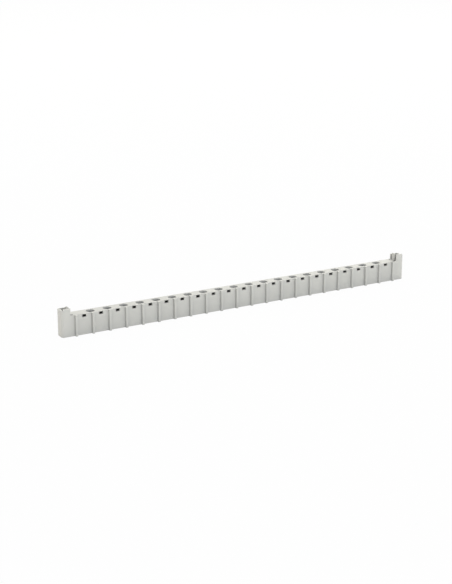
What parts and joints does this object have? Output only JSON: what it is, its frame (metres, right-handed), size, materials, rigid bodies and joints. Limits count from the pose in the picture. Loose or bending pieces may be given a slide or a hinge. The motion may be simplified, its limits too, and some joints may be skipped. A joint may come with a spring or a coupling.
{
  "type": "terminal block jumper bar",
  "caption": "Long slim light grey moulded bar with front ribs, small windows, driver holes along the top and a raised grooved block at each end, over a metal strip and captive screws.",
  "frame": {"origin": "middle of the box, on the plane that the bar stands on", "axes": "+X along the row of poles, -Y is the ribbed front with the windows, +Z towards the driver holes"},
  "size_m": [0.1808, 0.0064, 0.0127],
  "materials": {
    "housing_polyamide": "fine spark-eroded moulded polyamide, light warm grey",
    "tinned_brass": "stamped brass strip, satin tin plating",
    "zinc_plated_screw": "turned steel, bright zinc plating"
  },
  "bodies": {
    "root": {"insulating_housing": "housing_polyamide", "bus_strip": "tinned_brass", "pole_screw_01": "zinc_plated_screw", "pole_screw_02": "zinc_plated_screw", "pole_screw_03": "zinc_plated_screw", "pole_screw_04": "zinc_plated_screw", "pole_screw_05": "zinc_plated_screw", "pole_screw_06": "zinc_plated_screw", "pole_screw_07": "zinc_plated_screw", "pole_screw_08": "zinc_plated_screw", "pole_screw_09": "zinc_plated_screw", "pole_screw_10": "zinc_plated_screw", "pole_screw_11": "zinc_plated_screw", "pole_screw_12": "zinc_plated_screw", "pole_screw_13": "zinc_plated_screw", "pole_screw_14": "zinc_plated_screw", "pole_screw_15": "zinc_plated_screw", "pole_screw_16": "zinc_plated_screw", "pole_screw_17": "zinc_plated_screw", "pole_screw_18": "zinc_plated_screw", "pole_screw_19": "zinc_plated_screw", "pole_screw_20": "zinc_plated_screw"}
  },
  "joints": []
}
